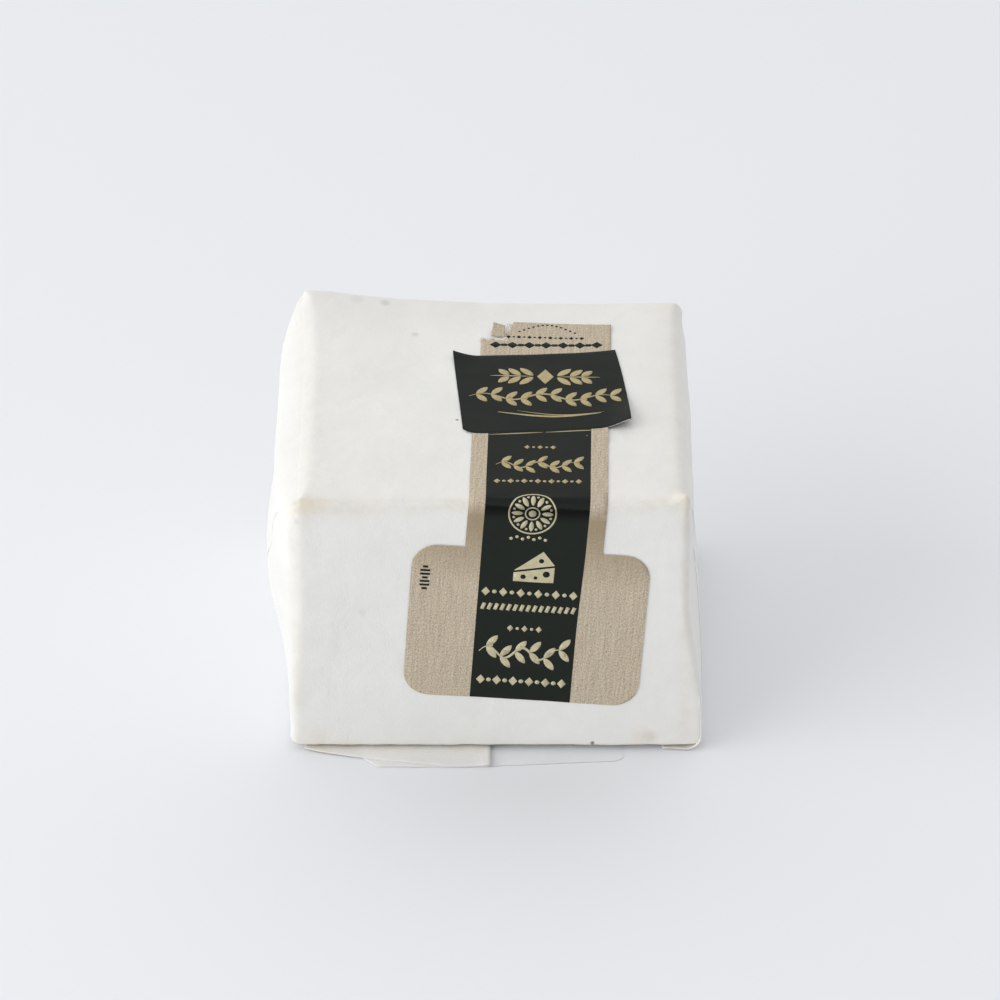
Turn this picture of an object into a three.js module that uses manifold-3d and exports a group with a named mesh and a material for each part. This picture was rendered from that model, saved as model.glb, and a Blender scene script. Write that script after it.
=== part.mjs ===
// A square portion of soft cheese in a folded paper wrapper, with a long label bent over its front top edge
// and a plain label under its base. Millimetres, +Z up, front towards -Y, +X to the right.
import * as THREE from 'three';
import { mergeVertices } from 'three/addons/utils/BufferGeometryUtils.js';
import Module from 'manifold-3d';

// Cheese
const CHEESE_WIDTH = 58.6;
const CHEESE_DEPTH = 58.6;
const CHEESE_HEIGHT = 43.5;
const CHEESE_EDGE = 2.4;

// Paper wrapper: its folded layers lie together as one wall
const PAPER = 0.4;
const CREASE = 1.5;
const CLEARANCE = 0.3;
const SEAM_WIDTH = 0.6;
const SEAM_MARGIN = 5;
const SEAM_OFFSET = -7;

// Parcel folds of the two ends: lean is how far the foot stands out, bulge how far the middle does,
// and lift how far the tip of the top flap stands off the end
const LEFT_END = { side: -1, lean: 1.2, bulge: 3, lift: 1.1 };
const RIGHT_END = { side: 1, lean: 2.2, bulge: 0.7, lift: 0.2 };
const TOP_FLAP = 31;
const BOTTOM_FLAP = 27;
const FLAP_TIP = 2;
const FLAP_PAPER = 0.3;
const FLAP_ROOT = 1.2;
const FLAP_EMERGES = 0.2;

// Loose lap of the sheet that sticks out under the front edge
const LAP_REACH = 4.7;
const LAP_LEFT = -28.5;
const LAP_RIGHT = -0.2;
const LAP_SLANT = 13;
const LAP_TUCK = 6;

// Top label, measured along its length from the crease: down the front is negative, back over the top positive
const LABEL_PAPER = 0.3;
const LABEL_X = 7.1;
const FRONT_TILT = 4.0;
const TOP_TILT = 1.2;
const TILT_BLEND = 6;
const PLATE_WIDTH = 36.2;
const PLATE_TOP = -8.8;
const PLATE_HEIGHT = 27.3;
const PLATE_CORNER = 4;
const BAND_WIDTH = 20.8;
const BANNER_START = 20;
const BANNER_LENGTH = 24.6;
const BANNER_NEAR = [-11.8, 14.2];
const BANNER_FAR = [-14.1, 11.4];
const BANNER_CURL = 1.8;
const TAB_LENGTH = 9.6;
const TAB_SIDES = [-9.9, 10.9];
const TEAR_DEPTH = 4.5;

// Base label: X and reach place the middle of its front edge
const BASE_LABEL_PAPER = 0.3;
const BASE_LABEL_WIDTH = 27;
const BASE_LABEL_LENGTH = 50;
const BASE_LABEL_CORNER = 1.8;
const BASE_LABEL_REACH = 4;
const BASE_LABEL_X = 7.4;
const BASE_LABEL_TURN = 4.1;

// Mesh fineness
const EDGE_STEPS = 3;
const WRAPPER_CELLS = 16;
const CHEESE_CELLS = 8;
const LABEL_COLUMNS = 6;
const ARC_STEPS = 5;
const STEP = 0.05;

// Places that follow from the sizes above
const WIDTH = CHEESE_WIDTH + 2 * (PAPER + CLEARANCE);
const DEPTH = CHEESE_DEPTH + 2 * (PAPER + CLEARANCE);
const HEIGHT = CHEESE_HEIGHT + 2 * (PAPER + CLEARANCE);
const FOOT = BASE_LABEL_PAPER + CLEARANCE;
const TOP = FOOT + HEIGHT;
const FRONT = -DEPTH / 2;
const PLATE_FOOT = PLATE_TOP - PLATE_HEIGHT;
const BANNER_END = BANNER_START + BANNER_LENGTH;

const wasm = await Module();
wasm.setup();

const radians = THREE.MathUtils.degToRad;
const clamp = THREE.MathUtils.clamp;
const smooth = THREE.MathUtils.smoothstep;

/** Turns a closed geometry into a solid that can be joined and cut. */
function solid(geometry) {
  const bare = geometry.index ? geometry.toNonIndexed() : geometry.clone();
  bare.deleteAttribute('normal');
  bare.deleteAttribute('uv');
  const merged = mergeVertices(bare, 1e-4);
  const mesh = new wasm.Mesh({
    numProp: 3,
    vertProperties: new Float32Array(merged.attributes.position.array),
    triVerts: new Uint32Array(merged.index.array),
  });
  return new wasm.Manifold(mesh);
}

/** Turns a solid back into a geometry. */
function geometryOf(body) {
  const mesh = body.getMesh();
  const geometry = new THREE.BufferGeometry();
  geometry.setAttribute('position', new THREE.BufferAttribute(new Float32Array(mesh.vertProperties), 3));
  geometry.setIndex(new THREE.BufferAttribute(new Uint32Array(mesh.triVerts), 1));
  geometry.computeVertexNormals();
  return geometry;
}

/** Moves each vertex of a geometry to where place(vertex) puts it. */
function reshape(geometry, place) {
  const position = geometry.attributes.position;
  const vertex = new THREE.Vector3();
  for (let i = 0; i < position.count; i += 1) {
    place(vertex.fromBufferAttribute(position, i));
    position.setXYZ(i, vertex.x, vertex.y, vertex.z);
  }
  geometry.computeVertexNormals();
  return geometry;
}

/** Places one line of a block's grid, with EDGE_STEPS lines inside each rounded edge. */
function gridPlace(unit, cells, half, radius) {
  const line = Math.round((unit + 1) / 2 * cells);
  const fromEdge = Math.min(line, cells - line);
  const middle = (fromEdge - EDGE_STEPS) / (cells / 2 - EDGE_STEPS);
  const inset = fromEdge < EDGE_STEPS
    ? radius * fromEdge / EDGE_STEPS
    : radius + middle * (half - radius);
  return Math.sign(unit) * (half - inset);
}

/** How far an end of the wrapper stands out from the block at a point on it. */
function endSwell(end, y, z) {
  const down = clamp((TOP - z) / HEIGHT, 0, 1);
  const tip = TOP_FLAP / HEIGHT;
  const rise = down < tip
    ? Math.sin(Math.PI / 2 * down / tip)
    : Math.cos(Math.PI / 2 * (down - tip) / (1 - tip));
  const across = 1 - Math.abs(clamp(y / (DEPTH / 2), -1, 1)) ** 3;
  return end.lean * smooth(down, 0, 0.6) + end.bulge * across * rise;
}

/** A block with rounded edges, standing at a height. */
function softBlock(width, depth, height, radius, foot, cells) {
  const half = new THREE.Vector3(width / 2, depth / 2, height / 2);
  const core = half.clone().subScalar(radius);
  const negative = core.clone().negate();
  const nearest = new THREE.Vector3();
  return reshape(new THREE.BoxGeometry(2, 2, 2, cells, cells, cells), (p) => {
    p.x = gridPlace(p.x, cells, half.x, radius);
    p.y = gridPlace(p.y, cells, half.y, radius);
    p.z = gridPlace(p.z, cells, half.z, radius);
    nearest.copy(p).clamp(negative, core);
    p.sub(nearest).setLength(radius).add(nearest);
    p.z += foot + height / 2;
  });
}

/** A surface of the wrapper, set in from its outside: a soft block whose two ends swell out. */
function wrapperSurface(inset) {
  const width = WIDTH - 2 * inset;
  const radius = CREASE - inset;
  const block = softBlock(
    width, DEPTH - 2 * inset, HEIGHT - 2 * inset, radius, FOOT + inset, WRAPPER_CELLS);
  return reshape(block, (p) => {
    const end = p.x < 0 ? LEFT_END : RIGHT_END;
    const share = clamp((Math.abs(p.x) - width / 2 + radius) / radius, 0, 1);
    p.x += end.side * share * endSwell(end, p.y, p.z);
  });
}

/** How far a flap's outside stands off the end, from its root (0) to its tip (1). */
function flapStand(along, paper, lift) {
  const emerging = smooth(along, 0, FLAP_EMERGES);
  return THREE.MathUtils.lerp(-FLAP_ROOT / 2, paper, emerging) + lift * along ** 2;
}

/** One triangular flap on an end, from the top edge down or from the base up. */
function endFlap(end, length, fromTop, paper, lift) {
  const root = fromTop ? TOP - CREASE : FOOT + CREASE;
  const tip = fromTop ? TOP - length : FOOT + length;
  const flap = new THREE.BoxGeometry(1, 2, 1, 1, 8, 10);
  return reshape(flap, (p) => {
    const along = fromTop ? 0.5 - p.z : 0.5 + p.z;
    const outside = p.x * end.side > 0;
    const halfWidth = THREE.MathUtils.lerp(DEPTH / 2 - CREASE, FLAP_TIP / 2, along);
    p.y *= halfWidth;
    p.z = THREE.MathUtils.lerp(root, tip, along);
    const stand = outside ? flapStand(along, paper, lift) : -FLAP_ROOT;
    p.x = end.side * (WIDTH / 2 + endSwell(end, p.y, p.z) + stand);
  });
}

/** The loose lap of the sheet under the front edge, cut on a slant at its left. */
function lap() {
  const outline = new THREE.Shape([
    new THREE.Vector2(LAP_LEFT, FRONT + LAP_TUCK),
    new THREE.Vector2(LAP_LEFT, FRONT),
    new THREE.Vector2(LAP_LEFT + LAP_SLANT, FRONT - LAP_REACH),
    new THREE.Vector2(LAP_RIGHT, FRONT - LAP_REACH),
    new THREE.Vector2(LAP_RIGHT, FRONT + LAP_TUCK),
  ]);
  const sheet = new THREE.ExtrudeGeometry(outline, { depth: PAPER, bevelEnabled: false });
  return sheet.translate(0, 0, FOOT);
}

/** The open seam under the base, where the two edges of the sheet meet. */
function seam() {
  const cut = new THREE.BoxGeometry(WIDTH - 2 * SEAM_MARGIN, SEAM_WIDTH, 4 * PAPER);
  return cut.translate(0, SEAM_OFFSET, FOOT + PAPER / 2);
}

function wrapperGeometry() {
  let body = solid(wrapperSurface(0)).add(solid(lap()));
  for (const end of [LEFT_END, RIGHT_END]) {
    body = body.add(solid(endFlap(end, BOTTOM_FLAP, false, FLAP_PAPER, 0)));
    body = body.add(solid(endFlap(end, TOP_FLAP, true, 2 * FLAP_PAPER, end.lift)));
  }
  return geometryOf(body.subtract(solid(wrapperSurface(PAPER))).subtract(solid(seam())));
}

function cheeseGeometry() {
  const foot = FOOT + PAPER + CLEARANCE;
  return softBlock(CHEESE_WIDTH, CHEESE_DEPTH, CHEESE_HEIGHT, CHEESE_EDGE, foot, CHEESE_CELLS);
}

/** Rows across one rounded end of the plate: place along the label, left side, right side. */
function plateEndRows(edge, inward) {
  const rows = [];
  for (let i = 0; i <= ARC_STEPS; i += 1) {
    const angle = Math.PI / 2 * i / ARC_STEPS;
    const half = PLATE_WIDTH / 2 - PLATE_CORNER * (1 - Math.sin(angle));
    rows.push([edge + inward * PLATE_CORNER * (1 - Math.cos(angle)), -half, half]);
  }
  return rows;
}

/** Rows of the plain band, close together where it bends over the crease. */
function bandRows() {
  const rows = [];
  const bend = CREASE + BAND_WIDTH / 2 * Math.sin(radians(FRONT_TILT)) + CLEARANCE;
  const steps = 14;
  const half = BAND_WIDTH / 2;
  rows.push([PLATE_TOP + STEP, -half, half], [-TILT_BLEND, -half, half]);
  for (let i = 0; i <= steps; i += 1) {
    rows.push([THREE.MathUtils.lerp(-bend, bend, i / steps), -half, half]);
  }
  rows.push([TILT_BLEND, -half, half], [BANNER_START, -half, half]);
  return rows;
}

function bannerRows() {
  const steps = 6;
  const rows = [];
  for (let i = 0; i <= steps; i += 1) {
    const left = THREE.MathUtils.lerp(BANNER_NEAR[0], BANNER_FAR[0], i / steps);
    const right = THREE.MathUtils.lerp(BANNER_NEAR[1], BANNER_FAR[1], i / steps);
    rows.push([BANNER_START + STEP + (BANNER_LENGTH - STEP) * i / steps, left, right]);
  }
  return rows;
}

/** Rows of the tab, whose far left corner is torn off. */
function tabRows() {
  const [left, right] = TAB_SIDES;
  const end = BANNER_END + TAB_LENGTH;
  return [
    [BANNER_END + STEP, left, right],
    [end - TEAR_DEPTH - STEP, left, right],
    [end - TEAR_DEPTH, left + TEAR_DEPTH / 2, right],
    [end, left + TEAR_DEPTH, right],
  ];
}

/** How far the near right corner of the banner curls up. */
function curl(u, v) {
  const across = smooth(u, BAND_WIDTH / 2 - 2, BANNER_NEAR[1]);
  const along = 1 - smooth(v, BANNER_START, BANNER_START + BANNER_LENGTH / 2);
  return v > BANNER_START ? BANNER_CURL * across * along : 0;
}

/** Puts a point of the flat label on the block: u across, v along, h off the paper. */
function overEdge(p, u, v, h) {
  const tilt = radians(THREE.MathUtils.lerp(FRONT_TILT, TOP_TILT, smooth(v, -TILT_BLEND, TILT_BLEND)));
  const along = v * Math.cos(tilt) - u * Math.sin(tilt);
  const turn = clamp((along + CREASE) / (2 * CREASE), 0, 1) * Math.PI / 2;
  p.x = LABEL_X + u * Math.cos(tilt) + v * Math.sin(tilt);
  p.y = FRONT + CREASE - (CREASE + h) * Math.cos(turn) + Math.max(0, along - CREASE);
  p.z = TOP - CREASE + (CREASE + h) * Math.sin(turn) + Math.min(0, along + CREASE);
}

function labelGeometry() {
  const rows = [
    ...plateEndRows(PLATE_FOOT, 1),
    ...plateEndRows(PLATE_TOP, -1).reverse(),
    ...bandRows(),
    ...bannerRows(),
    ...tabRows(),
  ];
  const last = rows.length - 1;
  const strip = new THREE.BoxGeometry(1, 1, 1, LABEL_COLUMNS, last, 1);
  return reshape(strip, (p) => {
    const [v, left, right] = rows[Math.round((p.y + 0.5) * last)];
    const u = THREE.MathUtils.lerp(left, right, p.x + 0.5);
    overEdge(p, u, v, CLEARANCE + (p.z > 0 ? LABEL_PAPER : 0) + curl(u, v));
  });
}

function baseLabelGeometry() {
  const side = BASE_LABEL_WIDTH / 2 - BASE_LABEL_CORNER;
  const near = BASE_LABEL_CORNER;
  const far = BASE_LABEL_LENGTH - BASE_LABEL_CORNER;
  const outline = new THREE.Shape();
  outline.absarc(side, far, BASE_LABEL_CORNER, 0, Math.PI / 2);
  outline.absarc(-side, far, BASE_LABEL_CORNER, Math.PI / 2, Math.PI);
  outline.absarc(-side, near, BASE_LABEL_CORNER, Math.PI, 1.5 * Math.PI);
  outline.absarc(side, near, BASE_LABEL_CORNER, 1.5 * Math.PI, 2 * Math.PI);
  const label = new THREE.ExtrudeGeometry(outline, {
    depth: BASE_LABEL_PAPER, bevelEnabled: false, curveSegments: ARC_STEPS });
  label.rotateZ(radians(BASE_LABEL_TURN));
  return label.translate(BASE_LABEL_X, FRONT - BASE_LABEL_REACH, 0);
}

/** Adds one named piece in its own finish. */
function piece(group, name, geometry, colour, roughness) {
  const material = new THREE.MeshStandardMaterial({ color: colour, roughness, metalness: 0 });
  const mesh = new THREE.Mesh(geometry, material);
  mesh.name = name;
  group.add(mesh);
}

const portion = new THREE.Group();
piece(portion, 'cheese', cheeseGeometry(), '#efe3c2', 0.6);
piece(portion, 'wrapper', wrapperGeometry(), '#e8e8e4', 0.5);
piece(portion, 'label', labelGeometry(), '#b7ac98', 0.8);
piece(portion, 'base_label', baseLabelGeometry(), '#eceef1', 0.6);

// The origin is the middle of the whole portion's footprint
const bounds = new THREE.Box3().setFromObject(portion, true);
const centre = bounds.getCenter(new THREE.Vector3());
portion.position.set(-centre.x, -centre.y, -bounds.min.z);

export default portion;
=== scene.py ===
"""Builds the looks of a paper-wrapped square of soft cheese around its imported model.

The shapes are worked out in millimetres in the model's own frame: +Z up, the front towards -Y,
+X to the right. A finished mesh is scaled to metres.
"""
import math

import bmesh
import bpy
from bpy.props import FloatProperty, FloatVectorProperty, PointerProperty
from mathutils import Matrix, Vector, noise
from mathutils.bvhtree import BVHTree


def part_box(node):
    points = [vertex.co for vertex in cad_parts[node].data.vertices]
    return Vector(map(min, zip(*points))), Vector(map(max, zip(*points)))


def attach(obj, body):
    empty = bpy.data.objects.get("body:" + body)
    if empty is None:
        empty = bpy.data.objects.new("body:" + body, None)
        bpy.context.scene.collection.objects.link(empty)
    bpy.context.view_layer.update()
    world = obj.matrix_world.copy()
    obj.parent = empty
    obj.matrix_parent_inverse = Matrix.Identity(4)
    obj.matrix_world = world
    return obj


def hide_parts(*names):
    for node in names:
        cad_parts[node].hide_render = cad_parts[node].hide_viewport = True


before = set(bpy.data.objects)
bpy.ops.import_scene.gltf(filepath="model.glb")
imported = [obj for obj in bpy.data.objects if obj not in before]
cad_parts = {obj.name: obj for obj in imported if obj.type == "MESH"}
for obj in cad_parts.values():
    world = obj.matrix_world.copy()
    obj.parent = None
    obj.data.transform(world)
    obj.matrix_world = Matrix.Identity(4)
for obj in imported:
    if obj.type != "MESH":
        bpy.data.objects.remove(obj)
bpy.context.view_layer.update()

bl_info = {
    "name": "Wrapped soft cheese",
    "version": (1, 0, 0),
    "blender": (4, 5, 0),
    "location": "3D View > Sidebar > Cheese",
    "description": "Builds a paper-wrapped square of soft cheese with its labels and its stage",
    "category": "Object",
}

MM = 0.001

# Places of the wrapper's outside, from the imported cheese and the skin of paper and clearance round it
SKIN = 0.7
CHEESE_LOW, CHEESE_HIGH = (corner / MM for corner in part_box("cheese"))
LOW = CHEESE_LOW - Vector((SKIN, SKIN, SKIN))
HIGH = CHEESE_HIGH + Vector((SKIN, SKIN, SKIN))
MIDDLE = (LOW + HIGH) / 2
HALF = (HIGH - LOW) / 2
FRONT, TOP, FOOT = LOW.y, HIGH.z, LOW.z

# Edges of the wrapped block: the sides they lie between along X, Y and Z, and their radius
EDGES = (
    ((0, -1, 1), 0.9), ((0, 1, 1), 0.9), ((-1, 0, 1), 3.0), ((1, 0, 1), 2.0),
    ((-1, -1, 0), 1.5), ((1, -1, 0), 1.1), ((-1, 1, 0), 1.8), ((1, 1, 0), 1.1),
    ((0, -1, -1), 0.7), ((0, 1, -1), 1.4), ((-1, 0, -1), 1.4), ((1, 0, -1), 1.4),
)
CREASE = 0.9

# Parcel folds at the ends: how far the paper stands out under the shoulder, in the middle, at the
# foot and in the pouch above it, the groove under the top edge, and how far the flaps stand off
LEFT_END = {
    "side": -1, "shoulder": 3.1, "bulge": 1.0, "lean": 1.2, "pouch": 1.2, "groove": 0.0,
    "lift": 0.25, "stand": -0.04,
}
RIGHT_END = {
    "side": 1, "shoulder": 0.9, "bulge": 0.4, "lean": 2.8, "pouch": 0.0, "groove": 0.5,
    "lift": 0.1, "stand": 0.0,
}
GROOVE_DOWN, GROOVE_WIDTH = 2.6, 1.4
POUCH_DOWN, POUCH_WIDTH = 25.0, 4.6
END_REACH = 4.5
FLAP_SIDE_GAP, FLAP_TIP, FLAP_ROOT = 1.6, 0.8, 1.2
FLAP_THICK, LAP_THICK, STICKER_THICK = 0.08, 0.10, 0.04
BODY_CUTS, CHEESE_CUTS, CHEESE_CORNER = 87, 47, 3.2

# Bumps of loose paper at the top corners: where, how wide and how far they push the paper
BUMPS = (
    (Vector((LOW.x, HIGH.y, HIGH.z)), 11.0, Vector((-1.0, 0.0, 1.9))),
    (Vector((HIGH.x - 0.4, LOW.y + 0.6, HIGH.z - 0.2)), 1.7, Vector((0.35, -0.2, 1.15))),
    (Vector((LOW.x + 0.3, LOW.y + 0.5, HIGH.z - 0.4)), 2.4, Vector((-0.15, -0.1, 0.3))),
    (Vector((HIGH.x, HIGH.y, HIGH.z - 2.0)), 8.0, Vector((0.55, 0.0, 0.2))),
)

# Loose laps: how far they stick out, their left and right end from the block's middle, the length
# of the slanted cut at their left, their height and their curl
LAPS = (
    ("wrapper_lower_lap", 4.7, -21.5, -0.3, 4.0, 0.08, 0.10),
    ("wrapper_upper_lap", 4.75, -29.0, -0.1, 22.0, 0.21, 0.35),
)

# Fold at the front right foot: how far out it stands, and the lengths of its outline
FOLD_OUT, FOLD_UPRIGHT, FOLD_BEND, FOLD_UNDER = 2.45, 7.5, 2.2, 3.6

# Grease in the paper: the most that a line of it marks, and spots from the middle of the front foot
LINE_GREASE = 0.42
GREASE_SPOTS = (
    (24.0, 0.0, 1.8, 1.8, 0.65), (-26.5, 0.0, 1.0, 3.0, 0.3), (29.5, 2.0, 44.4, 2.2, 0.35),
    (-29.0, 1.0, 43.8, 3.0, 0.10), (-18.0, 12.0, 44.9, 4.0, 0.08), (-20.0, 0.0, 43.4, 3.0, 0.14),
)

# Small dark marks on the paper: where, how wide and how strong
PAPER_MARKS = (
    (-15.9, 30.2, 46.6, 1.2, 0.22), (-20.5, 30.6, 47.0, 1.6, 0.09), (-11.0, 21.7, 46.0, 0.8, 0.18),
    (-4.2, -4.0, 45.8, 0.30, 0.80), (16.8, -27.5, 1.4, 0.45, 0.90), (-18.6, -27.6, 25.6, 0.8, 0.10),
    (-28.5, -26.9, 45.3, 0.9, 0.16), (-28.4, -27.6, 41.9, 0.7, 0.13), (25.7, -27.4, 2.6, 1.4, 0.10),
)

# The tear's bare core and the scrap that hangs there, in label coordinates
CORE_U, CORE_V, CORE_THICK = (-9.9, -4.2), (47.0, 53.2), 0.05
SCRAP_SIDES, SCRAP_FOOT, SCRAP_LENGTH = (-8.2, -6.0), 48.4, 2.9

# Label under the base
BASE_TURN, BASE_CORNER = 4.1, 1.8

# Label, measured from the crease: u across to the right, v along it, down the front negative
TILT_BLEND = 6.0
LABEL_MIDDLE = -0.2
PLATE_HALF, PLATE_TOP, PLATE_FOOT, PLATE_CORNER = 18.15, -8.6, -36.0, 4.0
BAND_HALF, STRIPE_HALF = 10.25, 7.75
BANNER_FOOT_SIDES, BANNER_HEAD_SIDES = (-11.9, 14.1), (-14.1, 11.5)
TAB_SIDES, TAB_HEAD = (-9.75, 10.85), 52.9
TEAR_U, TEAR_V = -6.05, 47.6
LABEL_UNDER, INK_THICK, INK_GAP = 0.05, 0.008, 0.014
INK_CELL = 1.3
UV_SPAN, UV_U, UV_V = 100.0, 25.0, 42.0


# ---- Small helpers ----

def clamp(value, low=0.0, high=1.0):
    return max(low, min(high, value))


def lerp(start, end, share):
    return start + (end - start) * share


def smooth(value, start, end):
    share = clamp((value - start) / (end - start))
    return share * share * (3 - 2 * share)


def spaced(start, end, count):
    return [lerp(start, end, i / count) for i in range(count + 1)]


def wave(place, size, octaves=2):
    """Smooth noise around zero whose bumps are about size wide."""
    return noise.fractal(place / size, 1.0, 2.0, octaves)


def patch(bm, columns, rows, place):
    """Adds a grid whose point in each column and row lies where place(column, row) puts it."""
    across, along = len(columns) - 1, len(rows) - 1
    made = bmesh.ops.create_grid(bm, x_segments=across, y_segments=along, size=0.5)
    for vert in made["verts"]:
        column = columns[round((vert.co.x + 0.5) * across)]
        row = rows[round((vert.co.y + 0.5) * along)]
        vert.co = place(column, row)
    return made["verts"]


def faces_of(verts):
    return list({face for vert in verts for face in vert.link_faces})


def face_outwards(bm):
    """Turns an open sheet's faces away from the middle of the block."""
    bm.normal_update()
    if sum(f.normal.dot(f.calc_center_median() - MIDDLE) * f.calc_area() for f in bm.faces) < 0:
        bmesh.ops.reverse_faces(bm, faces=bm.faces)


def turn_up(bm):
    """Turns each face of a bent print towards the outside: up on the top, forward on the front."""
    bm.normal_update()
    down = [face for face in bm.faces if face.normal.z - face.normal.y < 0]
    bmesh.ops.reverse_faces(bm, faces=down)


def finish_piece(name, bm, materials, node=None, thickness=0.0, rim=0):
    """Makes a millimetre bmesh a piece in metres that rides with the cheese.

    A thickness, in millimetres, is given to an open sheet on its outer side. rim is how many
    materials further down the list the one on its cut edge stands.
    """
    bmesh.ops.scale(bm, vec=(MM, MM, MM), verts=bm.verts)
    for face in bm.faces:
        face.smooth = True
    mesh = bpy.data.meshes.new(name)
    bm.to_mesh(mesh)
    bm.free()
    piece = bpy.data.objects.new(name, mesh)
    bpy.context.collection.objects.link(piece)
    for material in materials:
        mesh.materials.append(material)
    if thickness:
        solid = piece.modifiers.new("Thickness", "SOLIDIFY")
        solid.thickness = thickness * MM
        solid.offset = 1.0
        solid.material_offset_rim = rim
        piece.modifiers.new("Crisp rim", "WEIGHTED_NORMAL").weight = 90
    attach(piece, "root")
    if node:
        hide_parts(node)
    return piece


def surface_of(*names):
    """The outside of finished pieces, in millimetres, for other pieces to lie on."""
    points, faces = [], []
    for name in names:
        mesh = bpy.data.objects[name].data
        first = len(points)
        points.extend(vert.co / MM for vert in mesh.vertices)
        faces.extend(tuple(first + i for i in face.vertices) for face in mesh.polygons)
    return BVHTree.FromPolygons(points, faces)


# ---- The wrapped block ----

def edge_values(place):
    """The edge radius at a place from the block's middle, and its distance to the nearest edge."""
    total, weights, nearest = 0.0, 0.0, 1e9
    for sides, radius in EDGES:
        square = sum((side * half - at) ** 2 for side, half, at in zip(sides, HALF, place) if side)
        weight = 1.0 / (square + 0.5) ** 2
        total += weight * radius
        weights += weight
        nearest = min(nearest, square)
    return total / weights, math.sqrt(nearest)


def spread(unit, half):
    """Places a grid line so that the lines crowd towards the block's edges."""
    crowding = 1.7
    return math.copysign(half * (1 - (1 - abs(unit)) ** crowding), unit)


def pull_in(place, half, radius):
    """The nearest point of the box that is a radius smaller on every side."""
    return Vector([clamp(at, radius - size, size - radius) for at, size in zip(place, half)])


def end_swell(end, place):
    """How far an end of the wrapper stands out at a place."""
    down = (TOP - place.z) / (TOP - FOOT)
    shoulder = end["shoulder"] * smooth(down, 0.0, 0.10) * (1 - smooth(down, 0.45, 1.0))
    bulge = end["bulge"] * math.sin(math.pi * clamp(down / 0.9))
    groove = end["groove"] * math.exp(-((TOP - place.z - GROOVE_DOWN) / GROOVE_WIDTH) ** 2)
    pouch = end["pouch"] * math.exp(-((TOP - place.z - POUCH_DOWN) / POUCH_WIDTH) ** 2)
    flatness = lerp(6, 2.4, smooth(down, 0.25, 0.6))
    across = 1 - abs(clamp((place.y - MIDDLE.y) / HALF.y, -1, 1)) ** flatness
    return end["lean"] * smooth(down, 0.35, 0.9) + across * (shoulder + bulge + pouch - groove)


def puffs(place):
    """Bumps of loose paper at the top corners, and the raised back of the top."""
    shift = Vector((0, 0, 0))
    for corner, size, push in BUMPS:
        distance = (place - corner).length / size
        shift += push * math.exp(-distance * distance)
    upper = smooth(place.z, TOP - 6, TOP - 1)
    shift.z += 0.4 * upper * smooth(place.y, HIGH.y - 6, HIGH.y)
    shift.z += 0.7 * upper * smooth(place.y, MIDDLE.y, HIGH.y) * smooth(HIGH.x - place.x, 22, 48)
    return shift


def unevenness(place, outward, nearest):
    """Slow dents all over, and finer crinkles where the paper turns over an edge."""
    crinkle = math.exp(-nearest / 3.5)
    slow = 0.16 * wave(place, 17.0) * (1 - 0.6 * crinkle)
    fine = 0.10 * wave(place + Vector((31, 7, 3)), 3.2, 3) * crinkle
    ridge = 0.05 * (1 - abs(wave(place + Vector((5, 50, 9)), 8.0, 2))) ** 6
    return outward * (slow + fine - ridge)


def wrapped_place(unit):
    """Where a point of the unit cube lies on the wrapped block."""
    place = Vector([spread(at, half) for at, half in zip(unit, HALF)])
    radius, nearest = edge_values(place)
    core = pull_in(place, HALF, radius)
    outward = (place - core).normalized()
    place = MIDDLE + core + outward * radius
    end = LEFT_END if unit.x < 0 else RIGHT_END
    share = smooth(abs(place.x - MIDDLE.x), HALF.x - END_REACH, HALF.x - 0.2)
    place.x += end["side"] * share * end_swell(end, place)
    dome = (1 - abs(unit.x) ** 3) * (1 - abs(unit.y) ** 3)
    if outward.z > 0.5:
        place.z += 0.25 * dome
    if outward.z < -0.5:
        place.z += 0.5 * smooth(MIDDLE.y - place.y, HALF.y - 8, HALF.y) - 0.2
    return place + puffs(place) + unevenness(place, outward, nearest)


def line_stain(place, y, z, width):
    """How strongly grease has marked the paper along an edge that runs left to right."""
    distance = math.hypot(place.y - y, place.z - z)
    return math.exp(-(distance / width) ** 2)


def spot_stain(place, spot, width):
    return math.exp(-((place - spot).length / width) ** 2)


def grease(place):
    """Grease in the paper, 0 to 1: along the creases and in a few spots near the corners."""
    patchy = clamp(0.85 + 0.9 * wave(place, 5.0, 3), 0.3, 1.5)
    front_top = 0.46 * line_stain(place, FRONT, TOP - 0.8, 1.35)
    front_foot = 0.5 * line_stain(place, FRONT, FOOT, 1.0)
    back_top = 0.25 * line_stain(place, HIGH.y, TOP, 2.0)
    side = abs(place.x - MIDDLE.x) - HALF.x
    uprights = 0.35 * math.exp(-(math.hypot(side, place.y - FRONT) / 1.3) ** 2)
    shoulders = 0.22 * math.exp(-(math.hypot(side + 1.5, place.z - TOP) / 3.0) ** 2)
    spots = sum(
        amount * spot_stain(place, Vector((MIDDLE.x + x, FRONT + y, FOOT + z)), width)
        for x, y, z, width, amount in GREASE_SPOTS)
    edges = (front_top + front_foot + back_top + uprights) * patchy
    return clamp(min(edges, LINE_GREASE) + shoulders + spots)


def paint_grease(bm):
    layer = bm.verts.layers.float.new("grease")
    for vert in bm.verts:
        vert[layer] = grease(vert.co)


class CHEESE_OT_wrapper(bpy.types.Operator):
    """Makes the paper round the block: the sleeve and the side tucks of its two ends"""
    bl_idname = "cheese.wrapper"
    bl_label = "Wrapper"

    def execute(self, context):
        bm = bmesh.new()
        bmesh.ops.create_cube(bm, size=2.0)
        bmesh.ops.subdivide_edges(bm, edges=bm.edges, cuts=BODY_CUTS, use_grid_fill=True)
        for vert in bm.verts:
            vert.co = wrapped_place(vert.co.copy())
        paint_grease(bm)
        bmesh.ops.recalc_face_normals(bm, faces=bm.faces)
        finish_piece("wrapper_body", bm, [waxed_paper()], "wrapper")
        return {"FINISHED"}


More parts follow.
